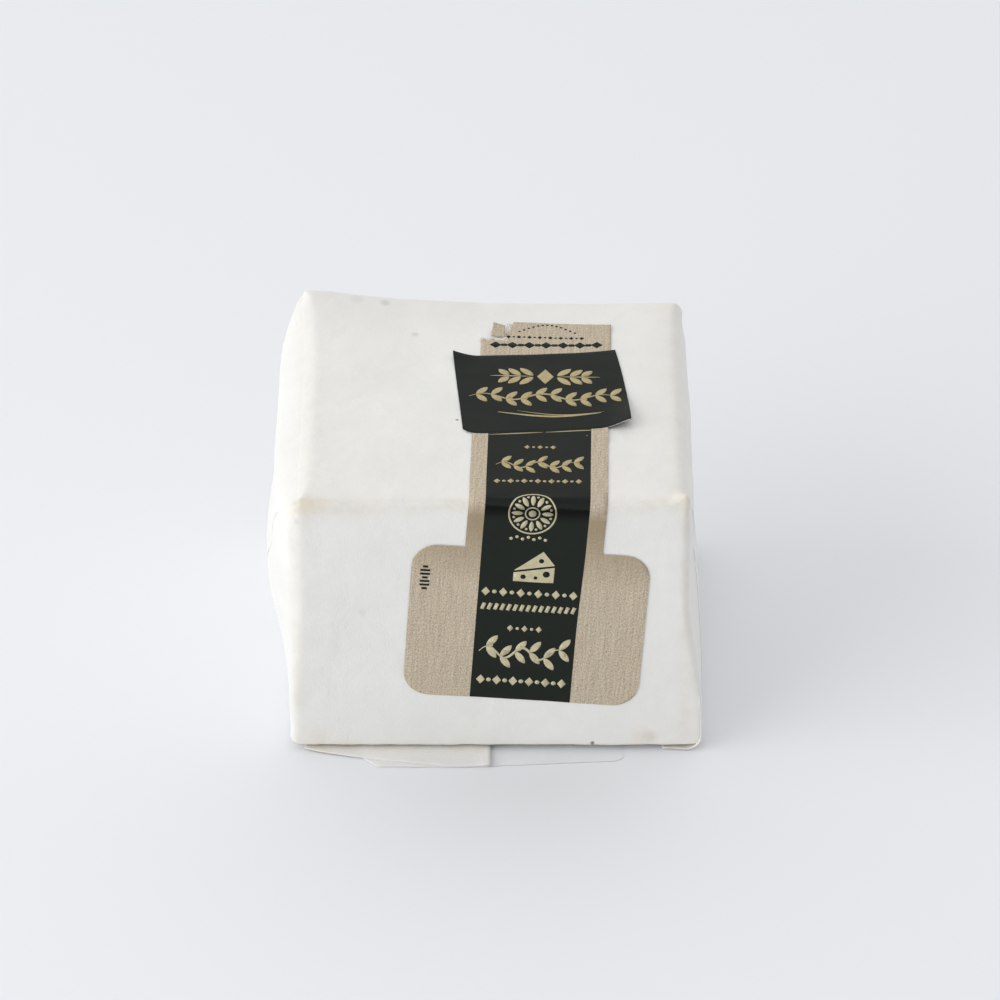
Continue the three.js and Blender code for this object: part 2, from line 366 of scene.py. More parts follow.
def flap_place(end, surface, upward, reach, across, along):
    """Where a point of an end's triangular flap lies: across from -1 to 1, along from root to tip."""
    side = end["side"]
    half = lerp(HALF.y - FLAP_SIDE_GAP, FLAP_TIP, along)
    down = lerp(FLAP_ROOT, reach, along)
    y, z = MIDDLE.y + across * half, FOOT + down if upward else TOP - down
    outside = Vector((MIDDLE.x + side * 60, y, z))
    spot, normal, _, _ = surface.ray_cast(outside, Vector((-side, 0, 0)))
    emerged = smooth(along, 0.0, 0.12)
    stand = lerp(-0.12, end["stand"], emerged)
    rumple = 0.08 * abs(wave(outside, 8.0)) * emerged * (1 - across * across)
    place = spot + normal * (stand + rumple)
    if not upward:
        place.x += side * end["lift"] * along ** 4.4
    return place


class CHEESE_OT_end_flaps(bpy.types.Operator):
    """Makes the triangular flaps folded over the two ends, the top one over the bottom one"""
    bl_idname = "cheese.end_flaps"
    bl_label = "End flaps"

    def execute(self, context):
        surface = surface_of("wrapper_body")
        settings = context.scene.wrapped_cheese_paper
        for word, end in (("left", LEFT_END), ("right", RIGHT_END)):
            for kind, upward, length in (
                ("bottom", True, settings.bottom_flap), ("top", False, settings.top_flap),
            ):
                bm = bmesh.new()
                patch(bm, spaced(-1, 1, 64), spaced(0, 1, 48),
                      lambda across, along: flap_place(end, surface, upward, length / MM, across, along))
                paint_grease(bm)
                face_outwards(bm)
                finish_piece(f"wrapper_{word}_{kind}_flap", bm, [waxed_paper()],
                             thickness=FLAP_THICK)
        return {"FINISHED"}


# ---- Loose laps under the block ----

def lap_edge(x, reach, left, slant):
    """How far a lap sticks out in front of the block at x, with a slanted cut at its left."""
    return reach * clamp((x - left) / slant) ** 0.75


def lap_place(x, tuck, reach, left, slant, height, curl):
    """A point of a lap: tuck 0 lies under the block, tuck 1 on the lap's front edge."""
    ragged = 1 + 0.02 * noise.noise(Vector((x / 3, 0, 0)))
    front = FRONT - lap_edge(x - MIDDLE.x, reach, left, slant) * ragged
    y = lerp(FRONT + 6.0, front, tuck)
    out = smooth(FRONT + 1.0 - y, 0.0, 4.0)
    z = lerp(height + 0.2, height, out) + curl * smooth(x - MIDDLE.x, -3.5, 0.0) ** 2 * out
    return Vector((x, y, z + 0.05 * abs(noise.noise(Vector((x / 5, y / 3, 2))))))


class CHEESE_OT_laps(bpy.types.Operator):
    """Makes the two layers of loose paper that stick out under the front edge"""
    bl_idname = "cheese.laps"
    bl_label = "Loose laps"

    def execute(self, context):
        for name, reach, left, right, slant, height, curl in LAPS:
            bm = bmesh.new()
            patch(bm, spaced(MIDDLE.x + left, MIDDLE.x + right, 60), spaced(0, 1, 20),
                  lambda x, tuck: lap_place(x, tuck, reach, left, slant, height, curl))
            paint_grease(bm)
            turn_up(bm)
            finish_piece(name, bm, [waxed_paper()], thickness=LAP_THICK)
        return {"FINISHED"}


def corner_path(share):
    """The outline of the end paper at the front right foot: down the edge, round, and under."""
    side, foot, turn = HIGH.x + FOLD_OUT, FOOT - 0.2, math.pi / 2 * FOLD_BEND
    at = share * (FOLD_UPRIGHT + turn + FOLD_UNDER)
    if at < FOLD_UPRIGHT:
        lean = 0.35 * (1 - at / FOLD_UPRIGHT) ** 2
        return Vector((side - lean, 0, foot + FOLD_BEND + FOLD_UPRIGHT - at))
    at -= FOLD_UPRIGHT
    if at < turn:
        way = Vector((math.cos(at / FOLD_BEND), 0, -math.sin(at / FOLD_BEND)))
        return Vector((side - FOLD_BEND, 0, foot + FOLD_BEND)) + way * FOLD_BEND
    return Vector((side - FOLD_BEND - (at - turn), 0, foot))


def corner_place(share, back):
    """A point of the corner fold: share along its outline, back from its front edge."""
    spot = corner_path(share)
    fade = math.sin(math.pi * clamp(share * 1.15)) ** 0.5
    spot.y = FRONT + lerp(-0.38 * fade, 3.0, back)
    spot.x -= 0.5 * back * (1 - math.sin(math.pi * share))
    return spot + Vector((0.08 * wave(spot, 2.5), 0, 0))


class CHEESE_OT_corner_fold(bpy.types.Operator):
    """Makes the edge of the end paper that stands out round the front right foot"""
    bl_idname = "cheese.corner_fold"
    bl_label = "Corner fold"

    def execute(self, context):
        bm = bmesh.new()
        patch(bm, spaced(0, 1, 48), spaced(0, 1, 8), corner_place)
        paint_grease(bm)
        face_outwards(bm)
        finish_piece("wrapper_corner_fold", bm, [waxed_paper()], thickness=LAP_THICK)
        return {"FINISHED"}


# ---- The label, laid out flat and then bent over the edge ----

def banner_foot(u):
    share = clamp((u - BANNER_FOOT_SIDES[0]) / (BANNER_FOOT_SIDES[1] - BANNER_FOOT_SIDES[0]))
    return 20.0 + 0.105 * u + 1.55 * (1 - share) ** 24


def banner_head(u):
    left = 1.3 * math.exp(-(u - BANNER_HEAD_SIDES[0]) / 1.8)
    right = 0.35 * math.exp((u - BANNER_HEAD_SIDES[1]) / 2.0)
    return 43.45 + 0.108 * u + left + right


def plate_inset(v):
    """How far the plate's rounded corners pull its side in at v."""
    from_end = min(v - PLATE_FOOT, PLATE_TOP - v)
    into_corner = max(0.0, PLATE_CORNER - from_end)
    return PLATE_CORNER - math.sqrt(max(0.0, PLATE_CORNER ** 2 - into_corner ** 2))


def right_bulge(u, v):
    """How much wider the band is on its right above the plate."""
    return 0.5 * clamp(u / BAND_HALF) * smooth(v, -24.0, -6.0)


def plate_point(u, v):
    wing = max(0.0, (abs(u) - BAND_HALF) / (PLATE_HALF - BAND_HALF))
    wider = right_bulge(u, v) * (1 - wing)
    if wing > 0:
        u = math.copysign(lerp(BAND_HALF, PLATE_HALF - plate_inset(v), wing), u)
    return Vector((LABEL_MIDDLE + u + wider, v, 0))


def plate_rows():
    turns = [PLATE_CORNER * (1 - math.cos(math.radians(angle))) for angle in range(0, 91, 10)]
    middle = spaced(PLATE_FOOT + PLATE_CORNER, PLATE_TOP - PLATE_CORNER, 18)
    return [PLATE_FOOT + t for t in turns] + middle[1:-1] + [PLATE_TOP - t for t in reversed(turns)]


def band_columns():
    side = spaced(STRIPE_HALF, BAND_HALF, 3)
    return [-u for u in reversed(side)] + spaced(-STRIPE_HALF, STRIPE_HALF, 14)[1:-1] + side


def band_point(u, share):
    u += LABEL_MIDDLE + right_bulge(u, PLATE_TOP)
    return Vector((u, lerp(PLATE_TOP, banner_foot(u), share), 0))


def banner_point(across, along):
    foot = lerp(*BANNER_FOOT_SIDES, across)
    head = lerp(*BANNER_HEAD_SIDES, across)
    bow = 0.35 * across * 4 * along * (1 - along)
    return Vector((lerp(foot, head, along) + bow, lerp(banner_foot(foot), banner_head(head), along), 0))


def tab_point(u, share):
    head = TAB_HEAD - 0.02 * u
    return Vector((u, lerp(banner_head(u), head, share), 0))


def torn_away(u, v):
    """Whether a spot of the tab lies in its torn-off corner."""
    ragged = 0.45 * noise.noise(Vector((u / 0.7, v / 0.7, 4)))
    ragged += 0.25 * noise.noise(Vector((u * 3, v * 3, 8)))
    slant = 1.25 * (v - TEAR_V) / (TAB_HEAD - TEAR_V)
    return v > TEAR_V + ragged and u < TEAR_U + slant + ragged


def tear_tab(bm, verts):
    """Takes the torn corner out of the tab and roughens what is left of its edge."""
    gone = [face for face in faces_of(verts) if torn_away(*face.calc_center_median().xy)]
    bmesh.ops.delete(bm, geom=gone, context="FACES")
    for vert in bm.verts:
        inside = LABEL_MIDDLE - 9.2 < vert.co.x < TEAR_U + 1.5 and TEAR_V - 1 < vert.co.y
        if vert.is_boundary and inside:
            vert.co.x += 0.10 * noise.noise(vert.co * 2.3)
            vert.co.y += 0.14 * noise.noise(vert.co * 1.9 + Vector((7, 7, 7)))


def cut_flat(bm, spot, way):
    """Cuts a flat print through a spot, at right angles to way."""
    geometry = bm.verts[:] + bm.edges[:] + bm.faces[:]
    bmesh.ops.bisect_plane(bm, geom=geometry, dist=1e-5, plane_co=spot, plane_no=way)


def cut_along_crease(bm):
    """Cuts a flat print in narrow strips where it goes over the crease."""
    settings = bpy.context.scene.wrapped_cheese_label
    tilt = (settings.front_tilt + settings.top_tilt) / 2
    across = Vector((-math.sin(tilt), math.cos(tilt), 0))
    for v in spaced(-2.0, 2.0, 16):
        cut_flat(bm, across * v, across)


def cut_in_squares(bm):
    """Cuts a flat print small, so that it follows the unevenness of what it lies on."""
    flat = [vert.co for vert in bm.verts]
    for axis in (0, 1):
        low, high = min(co[axis] for co in flat), max(co[axis] for co in flat)
        way = Vector((1 - axis, axis, 0))
        for at in spaced(low, high, int((high - low) / INK_CELL))[1:-1]:
            cut_flat(bm, way * at, way)


def label_lift(u, v):
    """How far the label stands off the paper: a curled banner corner, a lifted tip and tab end."""
    near_corner = smooth(u, 8.5, 15.0) ** 1.5 * (1 - smooth(v, 20.5, 34.0))
    far_tip = smooth(-u, 10.0, 14.1) * smooth(v, 38.0, 44.5)
    tab_end = smooth(v, 50.0, 53.5)
    return 1.75 * near_corner * (v > 17) + 0.6 * far_tip + 0.22 * tab_end


def on_block(surface, settings, u, v, height):
    """Puts a point of the flat label on a surface, height above it."""
    tilt = lerp(settings.front_tilt, settings.top_tilt, smooth(v, -TILT_BLEND, TILT_BLEND))
    along = v * math.cos(tilt) - u * math.sin(tilt)
    turn = math.pi / 2 * clamp((along + CREASE) / (2 * CREASE))
    outward = Vector((0, -math.cos(turn), math.sin(turn)))
    centre = Vector((
        MIDDLE.x + settings.across / MM + u * math.cos(tilt) + v * math.sin(tilt),
        FRONT + CREASE + max(0.0, along - CREASE),
        TOP - CREASE + min(0.0, along + CREASE)))
    ideal = centre + outward * CREASE
    spot = surface.ray_cast(ideal + outward * 5, -outward, 12)[0] or ideal
    return spot + outward * height


def map_flat(bm):
    """Keeps a flat print's own place as its UV map."""
    layer = bm.loops.layers.uv.new("flat")
    for face in bm.faces:
        for loop in face.loops:
            loop[layer].uv = ((loop.vert.co.x + UV_U) / UV_SPAN, (loop.vert.co.y + UV_V) / UV_SPAN)


def bend_over(bm, surface, height, lift=None):
    """Bends a flat print over a surface; its own z, and lift(u, v), raise it further."""
    settings = bpy.context.scene.wrapped_cheese_label
    for vert in bm.verts:
        u, v, rise = vert.co
        rise += height + (lift(u, v) if lift else 0.0)
        vert.co = on_block(surface, settings, u, v, rise)
    turn_up(bm)


class CHEESE_OT_label(bpy.types.Operator):
    """Makes the die-cut label: plate, band, banner and torn tab, bent over the front top edge"""
    bl_idname = "cheese.label"
    bl_label = "Label"

    def execute(self, context):
        bm = bmesh.new()
        wing = spaced(BAND_HALF, PLATE_HALF, 10)
        inner = band_columns()
        columns = [-u for u in reversed(wing)] + inner[1:-1] + wing
        patch(bm, columns, plate_rows(), plate_point)
        patch(bm, inner, spaced(0, 1, 26), band_point)
        bmesh.ops.remove_doubles(bm, verts=bm.verts, dist=1e-3)
        for face in bm.faces:
            face.material_index = int(abs(face.calc_center_median().x - LABEL_MIDDLE) < STRIPE_HALF)
        for face in faces_of(patch(bm, spaced(0, 1, 34), spaced(0, 1, 30), banner_point)):
            face.material_index = 1
        tear_tab(bm, patch(bm, spaced(*TAB_SIDES, 58), spaced(0, 1, 28), tab_point))
        cut_along_crease(bm)
        map_flat(bm)
        bend_over(bm, surface_of("wrapper_body"), LABEL_UNDER, label_lift)
        thickness = context.scene.wrapped_cheese_label.thickness / MM
        finish_piece("label_sheet", bm, [buff_paper(), black_ink(), torn_core()],
                     "label", thickness=thickness, rim=2)
        return {"FINISHED"}


class Print:
    """Flat printed shapes in label coordinates, kept in one bmesh."""

    def __init__(self):
        self.bm = bmesh.new()

    def disc(self, u, v, radius, segments=14):
        bmesh.ops.create_circle(
            self.bm, cap_ends=True, segments=segments, radius=radius,
            matrix=Matrix.Translation((u, v, 0)))

    def lozenge(self, u, v, width, height):
        made = bmesh.ops.create_circle(self.bm, cap_ends=True, segments=4, radius=0.5)
        bmesh.ops.scale(self.bm, vec=(width, height, 1), verts=made["verts"])
        bmesh.ops.translate(self.bm, vec=(u, v, 0), verts=made["verts"])

    def bar(self, u, v, width, height, angle=0.0):
        made = bmesh.ops.create_grid(self.bm, x_segments=1, y_segments=1, size=0.5)
        bmesh.ops.scale(self.bm, vec=(width, height, 1), verts=made["verts"])
        self.set_down(made["verts"], u, v, angle)

    def leaf(self, u, v, length, width, angle):
        """A pointed leaf whose stalk end lies at (u, v)."""
        made = bmesh.ops.create_circle(self.bm, cap_ends=True, segments=16, radius=1.0)
        for vert in made["verts"]:
            belly = vert.co.y * abs(vert.co.y) ** 0.5
            vert.co = Vector(((vert.co.x + 1) * length / 2, belly * width / 2, 0))
        self.set_down(made["verts"], u, v, angle)

    def ring(self, u, v, radius, width, segments=40):
        def place(turn, out):
            angle = math.tau * turn
            return Vector((u + out * math.cos(angle), v + out * math.sin(angle), 0))
        made = patch(self.bm, spaced(0, 1, segments), (radius - width, radius), place)
        bmesh.ops.remove_doubles(self.bm, verts=made, dist=1e-4)

    def ribbon(self, path, width, steps=24):
        """A line that follows path(share) and thins out towards both ends."""
        def place(share, side):
            spot, ahead = Vector(path(share)), Vector(path(share + 0.01))
            normal = (ahead - spot).orthogonal().normalized()
            return (spot + normal * side * width / 2 * (0.25 + 0.75 * math.sin(math.pi * share))).to_3d()
        patch(self.bm, spaced(0, 1, steps), (-1, 1), place)

    def outline(self, points):
        self.bm.faces.new([self.bm.verts.new((u, v, 0)) for u, v in points])

    def set_down(self, verts, u, v, angle):
        turn = Matrix.Rotation(math.radians(angle), 3, "Z")
        bmesh.ops.rotate(self.bm, cent=(0, 0, 0), matrix=turn, verts=verts)
        bmesh.ops.translate(self.bm, vec=(u, v, 0), verts=verts)

    def bead_row(self, start, end, v, count, size):
        """A straight row of lozenges and dots in turn."""
        for i, u in enumerate(spaced(start, end, count - 1)):
            if i % 2:
                self.disc(u, v, size * 0.22)
            else:
                self.lozenge(u, v, size * 0.8, size)

    def garland(self, start, end, v, rise, leaf):
        """A wavy stem with pairs of leaves and a berry after each pair."""
        waves = 2.5
        turns = round((end - start) / (leaf * 0.84))

        def stem(share):
            return lerp(start, end, share), v + rise * math.sin(math.tau * waves * share)
        self.ribbon(stem, leaf * 0.16, 60)
        for i in range(turns):
            share = (i + 0.5) / turns
            u, height = stem(share)
            for side in (1, -1):
                self.leaf(u, height, leaf, leaf * 0.42, side * 52)
            side = 1 if i % 2 else -1
            u, height = stem(share + 0.33 / turns)
            self.disc(u, height - side * leaf * 0.13, leaf * 0.10)

    def rosette(self, u, v, radius):
        self.disc(u, v, radius * 0.16)
        self.ring(u, v, radius, radius * 0.07)
        self.ring(u, v, radius * 0.32, radius * 0.06)
        petals = 12
        for i in range(petals):
            angle = 360 * i / petals
            way = Vector((math.cos(math.radians(angle)), math.sin(math.radians(angle))))
            root = Vector((u, v)) + way * radius * 0.38
            self.leaf(root.x, root.y, radius * 0.48, radius * 0.2, angle)
            between = Matrix.Rotation(math.pi / petals, 2) @ way * radius * 0.78
            self.disc(u + between.x, v + between.y, radius * 0.06, 8)


def gold_print():
    """The gold ornaments on the banner and the stripe."""
    mark = Print()
    mark.lozenge(0.6, 36.4, 2.6, 4.6)
    for side in (1, -1):
        for reach, length in ((1.9, 3.1), (3.9, 2.8), (5.7, 2.4)):
            for way in (1, -1):
                angle = 90 - side * (90 - way * 48)
                mark.leaf(0.6 + side * reach, 36.4 + 0.2 * way, length, 1.25, angle)
        mark.ribbon(lambda share: (0.6 + side * lerp(2.2, 8.6, share), 36.4), 0.3)
    mark.garland(-11.2, 12.0, 30.2, 0.9, 2.7)
    mark.ribbon(lambda share: (lerp(-6.6, 9.4, share), 25.6 - 1.3 * math.sin(math.pi * share)), 0.5, 40)
    mark.ribbon(lambda share: (lerp(-3.6, 9.8, share), 25.9 - 1.1 * math.sin(math.pi * share)), 0.22, 40)
    for start, end in ((-7.8, 0.4), (0.9, 9.8)):
        def under_banner(share):
            u = lerp(start, end, share)
            return u, banner_foot(u) - 0.42
        mark.ribbon(under_banner, 0.26, 30)
    mark.bead_row(-1.9, 2.1, 15.2, 5, 1.1)
    mark.garland(-6.6, 6.3, 10.0, 0.8, 2.3)
    mark.bead_row(-6.3, 6.1, 5.3, 13, 1.3)
    return mark.bm


def pale_print():
    """The paler ornaments from the crease down."""
    mark = Print()
    mark.rosette(-0.7, -2.0, 3.7)
    for i, u in enumerate(spaced(-3.6, 1.6, 6)):
        mark.disc(u, -6.6 + 0.35 * (i % 2), 0.28, 8)
    mark.outline(((-2.8, -14.3), (3.4, -14.3), (3.4, -11.5), (-2.8, -12.7)))
    mark.outline(((-2.8, -12.35), (3.4, -11.15), (1.5, -8.7)))
    mark.bead_row(-6.8, 6.6, -16.4, 11, 1.6)
    for u in spaced(-7.0, 6.8, 14):
        mark.bar(u, -19.1, 0.55, 1.2, -18)
    mark.bead_row(-2.6, 1.8, -22.9, 5, 1.2)
    mark.garland(-7.1, 6.3, -27.4, 1.0, 2.6)
    mark.bead_row(-6.5, 6.0, -32.6, 11, 1.7)
    return mark.bm


def black_print():
    """The small black marks on the bare buff paper and the holes of the wedge."""
    mark = Print()
    for share in spaced(0, 1, 12):
        mark.disc(lerp(-3.7, 5.1, share), 50.3 + 2.0 * math.sin(math.pi * share), 0.2, 8)
    mark.bead_row(-5.4, 6.2, 48.6, 15, 0.9)
    for i, u in enumerate(spaced(-7.4, 8.6, 12)):
        if i % 2:
            mark.bar(u, 46.2 + 0.03 * u, 0.9, 0.7)
        else:
            mark.lozenge(u, 46.2 + 0.03 * u, 1.9, 1.9)
    for i in range(7):
        mark.bar(-16.2, -12.6 - 0.66 * i, 1.5 if i % 3 else 0.8, 0.36)
    for u, v, radius in ((-1.3, -13.4, 0.42), (0.6, -13.5, 0.3), (2.2, -12.8, 0.55), (1.3, -10.4, 0.4)):
        mark.disc(u, v, radius)
    return mark.bm


class CHEESE_OT_ornaments(bpy.types.Operator):
    """Prints the gold, pale and black ornaments on the label"""
    bl_idname = "cheese.ornaments"
    bl_label = "Ornaments"

    def execute(self, context):
        surface = surface_of("label_sheet")
        settings = context.scene.wrapped_cheese_label
        for name, bm, ink, layer in (
            ("label_gold_print", gold_print(), gold_ink("gold_ink", settings.gold), 1),
            ("label_pale_print", pale_print(), gold_ink("pale_gold_ink", settings.pale_gold), 1),
            ("label_black_print", black_print(), black_ink(), 2),
        ):
            cut_along_crease(bm)
            cut_in_squares(bm)
            map_flat(bm)
            bend_over(bm, surface, settings.thickness / MM + INK_GAP * layer)
            finish_piece(name, bm, [ink], thickness=INK_THICK)
        return {"FINISHED"}


class CHEESE_OT_torn_edge(bpy.types.Operator):
    """Makes the white fibres along the tab's tear and the scrap that hangs on there"""
    bl_idname = "cheese.torn_edge"
    bl_label = "Torn edge"

    def execute(self, context):
        bm = bmesh.new()
        verts = patch(bm, spaced(*CORE_U, 40), spaced(*CORE_V, 40), lambda u, v: Vector((u, v, 0)))
        gone = [face for face in faces_of(verts) if not is_core(*face.calc_center_median().xy)]
        bmesh.ops.delete(bm, geom=gone, context="FACES")
        for vert in bm.verts:
            vert.co += 0.13 * noise.noise_vector(vert.co * 2.7)
            vert.co.z = 0.16 * abs(noise.noise(vert.co * 1.7))
        scrap = patch(bm, spaced(0, 1, 10), spaced(0, 1, 12), scrap_point)
        for face in faces_of(scrap):
            face.material_index = 1
        map_flat(bm)
        bend_over(bm, surface_of("wrapper_body"), LABEL_UNDER)
        finish_piece("label_torn_edge", bm, [torn_core(), buff_paper()],
                     thickness=CORE_THICK)
        return {"FINISHED"}


def is_core(u, v):
    """Whether the bare white core of the label shows at a spot: a ragged strip along the tear."""
    ragged = 0.35 * noise.noise(Vector((u * 1.4, v * 1.4, 11)))
    ragged += 0.2 * noise.noise(Vector((u * 4, v * 4, 3)))
    along_foot = -0.5 < v - TEAR_V < 0.55 + ragged and u < TEAR_U + 0.5
    along_side = -0.6 - ragged < u - TEAR_U - 0.22 * (v - TEAR_V) < 0.4 and v > TEAR_V - 0.5
    return along_foot or along_side and v < TAB_HEAD - 0.1 + ragged


def scrap_point(across, along):
    """The scrap: rooted at the tear's foot, curling up and over to the left."""
    u = lerp(*SCRAP_SIDES, across) + 0.35 * along * (1 - across)
    u += 0.08 * noise.noise(Vector((along * 5, 1, 0)))
    v = SCRAP_FOOT + SCRAP_LENGTH * along - 0.3 * across * along
    v += 0.1 * noise.noise(Vector((across * 6, 2, 0)))
    height = 0.25 + 0.5 * along + 0.35 * (1 - across) * along
    return Vector((u, v, height))


# ---- Base label and cheese ----

class CHEESE_OT_base_label(bpy.types.Operator):
    """Makes the plain label under the base, whose front edge shows"""
    bl_idname = "cheese.base_label"
    bl_label = "Base label"

    def execute(self, context):
        low, high = (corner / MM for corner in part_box("base_label"))
        middle, box = (low + high) / 2, high - low
        turn = math.radians(BASE_TURN)
        share = math.cos(2 * turn)
        width = (box.x * math.cos(turn) - box.y * math.sin(turn)) / share
        length = (box.y * math.cos(turn) - box.x * math.sin(turn)) / share
        bm = bmesh.new()
        made = bmesh.ops.create_grid(bm, x_segments=1, y_segments=1, size=0.5)
        bmesh.ops.scale(bm, vec=(width, length, 1), verts=made["verts"])
        bmesh.ops.bevel(bm, geom=bm.verts[:], offset=BASE_CORNER, offset_type="OFFSET",
                        affect="VERTICES", segments=8, profile=0.5, material=-1)
        bmesh.ops.rotate(bm, cent=(0, 0, 0), matrix=Matrix.Rotation(turn, 3, "Z"), verts=bm.verts)
        bmesh.ops.translate(bm, vec=(middle.x, middle.y, 0.01), verts=bm.verts)
        finish_piece("base_label_sheet", bm, [white_sticker()], "base_label",
                     thickness=STICKER_THICK)
        return {"FINISHED"}


class CHEESE_OT_cheese(bpy.types.Operator):
    """Makes the block of soft cheese inside the paper"""
    bl_idname = "cheese.cheese"
    bl_label = "Cheese"

    def execute(self, context):
        bm = bmesh.new()
        bmesh.ops.create_cube(bm, size=2.0)
        bmesh.ops.subdivide_edges(bm, edges=bm.edges, cuts=CHEESE_CUTS, use_grid_fill=True)
        middle, half = (CHEESE_LOW + CHEESE_HIGH) / 2, (CHEESE_HIGH - CHEESE_LOW) / 2
        for vert in bm.verts:
            place = Vector([spread(at, size) for at, size in zip(vert.co, half)])
            core = pull_in(place, half, CHEESE_CORNER)
            outward = (place - core).normalized()
            skin = 0.22 * wave(place, 9.0, 3) + 0.08 * wave(place, 1.6, 2) - 0.3
            vert.co = middle + core + outward * (CHEESE_CORNER + skin)
        bmesh.ops.recalc_face_normals(bm, faces=bm.faces)
        finish_piece("cheese_block", bm, [soft_rind()], "cheese")
        return {"FINISHED"}


# ---- Materials ----

def feed(tree, socket, value):
    """Gives an input a value, or links another node's output to it."""
    if isinstance(value, bpy.types.NodeSocket):
        tree.links.new(value, socket)
    else:
        socket.default_value = value


def node(tree, kind, settings=None, **inputs):
    """Adds a shader node; its inputs go by name, or by number as i0, i1 and so on."""
    made = tree.nodes.new("ShaderNode" + kind)
    for key, value in (settings or {}).items():
        setattr(made, key, value)
    for key, value in inputs.items():
        numbered = key[0] == "i" and key[1:].isdigit()
        feed(tree, made.inputs[int(key[1:]) if numbered else key.replace("_", " ")], value)
    return made


def maths(tree, operation, first, second=0.0, clamped=False):
    settings = {"operation": operation, "use_clamp": clamped}
    return node(tree, "Math", settings, i0=first, i1=second).outputs[0]


def mix(tree, factor, first, second):
    return node(tree, "Mix", {"data_type": "RGBA"}, i0=factor, i6=first, i7=second).outputs[2]


def scaled(colour, shares):
    """A colour with its red, green and blue scaled: one share for all, or one for each."""
    shares = shares if isinstance(shares, tuple) else (shares,) * 3
    return [min(1.0, part * share) for part, share in zip(colour[:3], shares)] + [1.0]


def ramp(tree, value, low, high):
    """Turns values between low and high into 0 to 1."""
    return node(tree, "MapRange", {"clamp": True}, Value=value, From_Min=low, From_Max=high).outputs[0]


def new_group(name, inputs, outputs):
    tree = bpy.data.node_groups.new(name, "ShaderNodeTree")
    for kind, socket, default in inputs:
        made = tree.interface.new_socket(socket, in_out="INPUT", socket_type="NodeSocket" + kind)
        if default is not None:
            made.default_value = default
    for kind, socket in outputs:
        tree.interface.new_socket(socket, in_out="OUTPUT", socket_type="NodeSocket" + kind)
    return tree, tree.nodes.new("NodeGroupInput").outputs, tree.nodes.new("NodeGroupOutput").inputs


def use_group(tree, group, **inputs):
    return node(tree, "Group", {"node_tree": group}, **inputs).outputs


def paper_grain():
    """Shared by every paper: a bump height of fibres and cockles, and a cloudy tone."""
    if "paper_grain" in bpy.data.node_groups:
        return bpy.data.node_groups["paper_grain"]
    tree, given, out = new_group(
        "paper_grain",
        (("Vector", "Vector", None), ("Float", "Fibre", 2500.0), ("Float", "Cockle", 160.0),
         ("Float", "Cloud", 90.0)),
        (("Float", "Height"), ("Float", "Tone")))
    place = given["Vector"]
    fibre = node(tree, "TexNoise", Vector=place, Scale=given["Fibre"], Detail=3.0, Roughness=0.6)
    cockle = node(tree, "TexNoise", Vector=place, Scale=given["Cockle"], Detail=2.0, Distortion=0.6)
    cloud = node(tree, "TexNoise", Vector=place, Scale=given["Cloud"], Detail=4.0, Roughness=0.62)
    fine = maths(tree, "MULTIPLY", fibre.outputs[0], 0.22)
    tree.links.new(maths(tree, "ADD", fine, cockle.outputs[0]), out["Height"])
    tree.links.new(ramp(tree, cloud.outputs[0], 0.32, 0.70), out["Tone"])
    return tree


def specks():
    """A mask of sparse small specks."""
    if "specks" in bpy.data.node_groups:
        return bpy.data.node_groups["specks"]
    tree, given, out = new_group(
        "specks",
        (("Vector", "Vector", None), ("Float", "Density", 120.0), ("Float", "Size", 0.06),
         ("Float", "Share", 0.1)),
        (("Float", "Mask"),))
    cells = node(tree, "TexVoronoi", Vector=given["Vector"], Scale=given["Density"])
    draws = node(tree, "SeparateColor", Color=cells.outputs["Color"]).outputs
    chosen = maths(tree, "LESS_THAN", draws[0], given["Share"])
    size = maths(tree, "MULTIPLY", draws[1], given["Size"])
    near = maths(tree, "LESS_THAN", cells.outputs["Distance"], size)
    tree.links.new(maths(tree, "MULTIPLY", chosen, near), out["Mask"])
    return tree


def new_material(name):
    material = bpy.data.materials.new(name)
    material.use_nodes = True
    tree = material.node_tree
    tree.nodes.clear()
    return material, tree


def finish_material(tree, colour, height, distance, strength=1.0, roughness=0.5, **values):
    bump = node(tree, "Bump", Height=height, Strength=strength, Distance=distance)
    shader = node(tree, "BsdfPrincipled", Base_Color=colour, Normal=bump.outputs[0],
                  Roughness=roughness, **values)
    output = node(tree, "OutputMaterial")
    tree.links.new(shader.outputs[0], output.inputs[0])


def flat_place(tree):
    """The label's own flat coordinates in millimetres."""
    place = node(tree, "UVMap", {"uv_map": "flat"})
    return node(tree, "Mapping", Vector=place.outputs[0], Location=(-UV_U, -UV_V, 0),
                Scale=(UV_SPAN, UV_SPAN, 1)).outputs[0]


